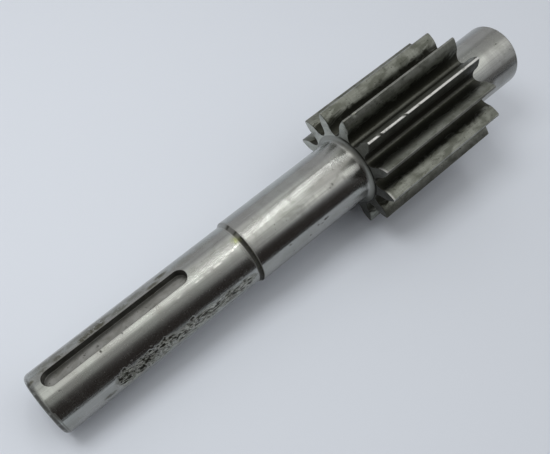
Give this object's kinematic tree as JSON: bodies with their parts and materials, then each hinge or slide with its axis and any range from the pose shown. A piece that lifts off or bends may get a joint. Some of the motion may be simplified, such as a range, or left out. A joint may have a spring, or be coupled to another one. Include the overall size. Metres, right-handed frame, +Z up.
{
  "type": "pinion shaft",
  "caption": "Straight-toothed pinion cut in one piece with its stepped steel shaft, with a long closed key seat on the drive end and a short plain journal at the far end.",
  "frame": {"origin": "on the shaft's axis, half way between the two end faces", "axes": "+X along the shaft's axis from the keyed drive end to the short tail journal, +Z up with a tooth space facing straight up and the key seat 11.5 degrees from +Z towards +Y, +Y completing the right hand"},
  "size_m": [0.257, 0.0544, 0.0544],
  "materials": {
    "steel": "fine-turned and ground, lightly oiled, with faint stains and pitting"
  },
  "bodies": {
    "root": {"pinion_shaft": "steel"}
  },
  "joints": []
}
